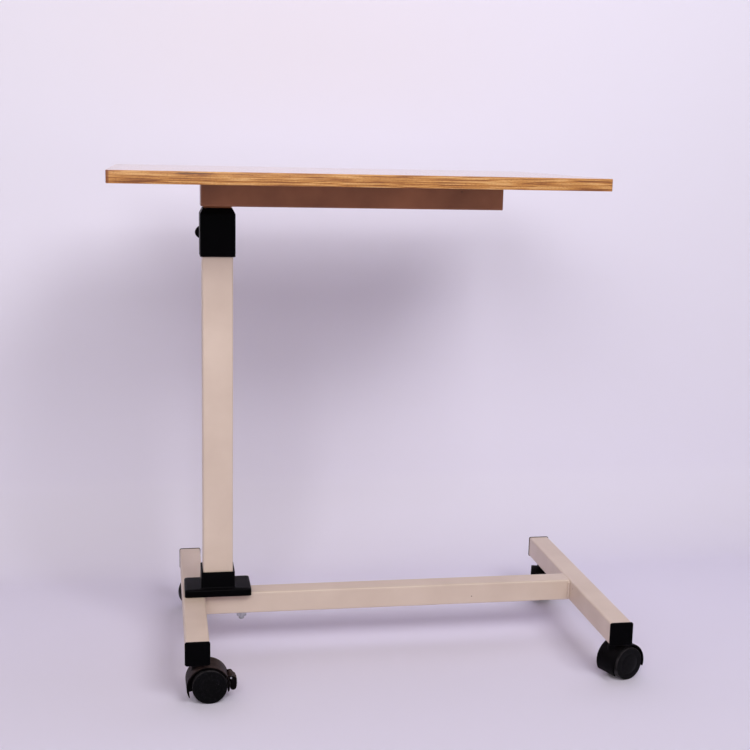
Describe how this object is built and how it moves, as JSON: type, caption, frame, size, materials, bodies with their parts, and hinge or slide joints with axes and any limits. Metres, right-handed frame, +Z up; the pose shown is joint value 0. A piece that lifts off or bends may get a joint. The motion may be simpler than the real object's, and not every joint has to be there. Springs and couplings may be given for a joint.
{
  "type": "overbed table",
  "caption": "C-shaped overbed table: wood-edged top on a telescoping square column at one side, knob lock, H-shaped tube base on hooded twin-wheel casters.",
  "frame": {"origin": "on the floor, below the middle of the bounding box at the lowest height setting", "axes": "+X along the crossbar, away from the column; +Y to the rear, where the lock knob is; +Z up, out of the table top"},
  "size_m": [0.6944, 0.4, 0.66],
  "materials": {
    "frame_paint": "satin beige powder coat on steel tube",
    "mast_paint": "satin brown powder coat on steel",
    "moulded_black": "moulded black polypropylene",
    "knob_plastic": "moulded black nylon",
    "caster_plastic": "moulded black nylon, dusty",
    "wheel_nylon": "moulded black nylon",
    "guide_plastic": "moulded white acetal",
    "board": "raw particle board",
    "top_laminate": "wood-grain melamine laminate, satin",
    "back_laminate": "plain balancing laminate",
    "edge_band": "wood-grain edge band",
    "zinc_steel": "bright zinc plate"
  },
  "bodies": {
    "base": {"left_foot_tube": "frame_paint", "right_foot_tube": "frame_paint", "crossbar_tube": "frame_paint", "crossbar_welds": "frame_paint", "left_front_end_cap": "moulded_black", "left_rear_end_cap": "moulded_black", "right_front_end_cap": "moulded_black", "right_rear_end_cap": "moulded_black", "column_foot_plate": "frame_paint", "column_weld": "frame_paint", "column_bolts": "zinc_steel", "column_washers": "zinc_steel", "column_nuts": "zinc_steel", "socket_cover": "moulded_black", "outer_column_tube": "frame_paint", "guide_sleeve": "guide_plastic", "column_head": "moulded_black", "lock_insert": "zinc_steel", "caster_stems": "zinc_steel", "caster_stem_nuts": "zinc_steel"},
    "mast": {"inner_tube": "mast_paint", "lower_glide": "guide_plastic", "mast_weld": "mast_paint", "support_rail": "mast_paint", "rail_stiffener": "mast_paint", "tabletop_board": "board", "bottom_laminate": "back_laminate", "top_laminate": "top_laminate", "edge_band": "edge_band", "tabletop_screws": "zinc_steel"},
    "lock_pad": {"clamp_pad": "guide_plastic"},
    "knob": {"lock_knob": "knob_plastic", "lock_screw": "zinc_steel", "knob_button": "knob_plastic"},
    "front_left_swivel": {"front_left_caster_housing": "caster_plastic", "front_left_caster_axle": "zinc_steel", "front_left_pedal_pin": "zinc_steel"},
    "front_left_wheel_a_body": {"front_left_wheel_a": "wheel_nylon"},
    "front_left_wheel_b_body": {"front_left_wheel_b": "wheel_nylon"},
    "front_left_pedal": {"front_left_brake_pedal": "caster_plastic"},
    "front_right_swivel": {"front_right_caster_housing": "caster_plastic", "front_right_caster_axle": "zinc_steel"},
    "front_right_wheel_a_body": {"front_right_wheel_a": "wheel_nylon"},
    "front_right_wheel_b_body": {"front_right_wheel_b": "wheel_nylon"},
    "rear_left_swivel": {"rear_left_caster_housing": "caster_plastic", "rear_left_caster_axle": "zinc_steel", "rear_left_pedal_pin": "zinc_steel"},
    "rear_left_wheel_a_body": {"rear_left_wheel_a": "wheel_nylon"},
    "rear_left_wheel_b_body": {"rear_left_wheel_b": "wheel_nylon"},
    "rear_left_pedal": {"rear_left_brake_pedal": "caster_plastic"},
    "rear_right_swivel": {"rear_right_caster_housing": "caster_plastic", "rear_right_caster_axle": "zinc_steel"},
    "rear_right_wheel_a_body": {"rear_right_wheel_a": "wheel_nylon"},
    "rear_right_wheel_b_body": {"rear_right_wheel_b": "wheel_nylon"}
  },
  "joints": [
    {"name": "mast_lift", "type": "slide", "parent": "base", "child": "mast", "axis": [0, 0, 1], "range_m": [0, 0.3]},
    {"name": "knob_turn", "type": "hinge", "parent": "lock_pad", "child": "knob", "pos_m": [-0.2132, 0.036, 0.5785], "axis": [0, 1, 0], "range_deg": [0, 720]},
    {"name": "lock_travel", "type": "slide", "parent": "base", "child": "lock_pad", "axis": [0, 1, 0], "range_m": [0, 0.0025]},
    {"name": "front_left_swivel_turn", "type": "hinge", "parent": "base", "child": "front_left_swivel", "pos_m": [-0.2462, -0.1595, 0.056], "axis": [0, 0, 1], "continuous": true},
    {"name": "front_left_wheel_a_spin", "type": "hinge", "parent": "front_left_swivel", "child": "front_left_wheel_a_body", "pos_m": [-0.2312, -0.15911, 0.022], "axis": [0.0262, -0.9997, 0], "continuous": true},
    {"name": "front_left_wheel_b_spin", "type": "hinge", "parent": "front_left_swivel", "child": "front_left_wheel_b_body", "pos_m": [-0.2312, -0.15911, 0.022], "axis": [0.0262, -0.9997, 0], "continuous": true},
    {"name": "front_left_pedal_lift", "type": "hinge", "parent": "front_left_swivel", "child": "front_left_pedal", "pos_m": [-0.20428, -0.1584, 0.03077], "axis": [0.0262, -0.9997, 0], "range_deg": [0, 25]},
    {"name": "front_right_swivel_turn", "type": "hinge", "parent": "base", "child": "front_right_swivel", "pos_m": [0.3038, -0.1595, 0.056], "axis": [0, 0, 1], "continuous": true},
    {"name": "front_right_wheel_a_spin", "type": "hinge", "parent": "front_right_swivel", "child": "front_right_wheel_a_body", "pos_m": [0.31771, -0.15388, 0.022], "axis": [0.3746, -0.9272, 0], "continuous": true},
    {"name": "front_right_wheel_b_spin", "type": "hinge", "parent": "front_right_swivel", "child": "front_right_wheel_b_body", "pos_m": [0.31771, -0.15388, 0.022], "axis": [0.3746, -0.9272, 0], "continuous": true},
    {"name": "rear_left_swivel_turn", "type": "hinge", "parent": "base", "child": "rear_left_swivel", "pos_m": [-0.2462, 0.1595, 0.056], "axis": [0, 0, 1], "continuous": true},
    {"name": "rear_left_wheel_a_spin", "type": "hinge", "parent": "rear_left_swivel", "child": "rear_left_wheel_a_body", "pos_m": [-0.23186, 0.16389, 0.022], "axis": [0.2924, -0.9563, 0], "continuous": true},
    {"name": "rear_left_wheel_b_spin", "type": "hinge", "parent": "rear_left_swivel", "child": "rear_left_wheel_b_body", "pos_m": [-0.23186, 0.16389, 0.022], "axis": [0.2924, -0.9563, 0], "continuous": true},
    {"name": "rear_left_pedal_lift", "type": "hinge", "parent": "rear_left_swivel", "child": "rear_left_pedal", "pos_m": [-0.20609, 0.17176, 0.03077], "axis": [0.2924, -0.9563, 0], "range_deg": [0, 25]},
    {"name": "rear_right_swivel_turn", "type": "hinge", "parent": "base", "child": "rear_right_swivel", "pos_m": [0.3038, 0.1595, 0.056], "axis": [0, 0, 1], "continuous": true},
    {"name": "rear_right_wheel_a_spin", "type": "hinge", "parent": "rear_right_swivel", "child": "rear_right_wheel_a_body", "pos_m": [0.29917, 0.14523, 0.022], "axis": [-0.9511, 0.309, 0], "continuous": true},
    {"name": "rear_right_wheel_b_spin", "type": "hinge", "parent": "rear_right_swivel", "child": "rear_right_wheel_b_body", "pos_m": [0.29917, 0.14523, 0.022], "axis": [-0.9511, 0.309, 0], "continuous": true}
  ],
  "couplings": [
    {"joint": "lock_travel", "follows": "knob_turn", "m_per_rad": 0.00019894}
  ]
}
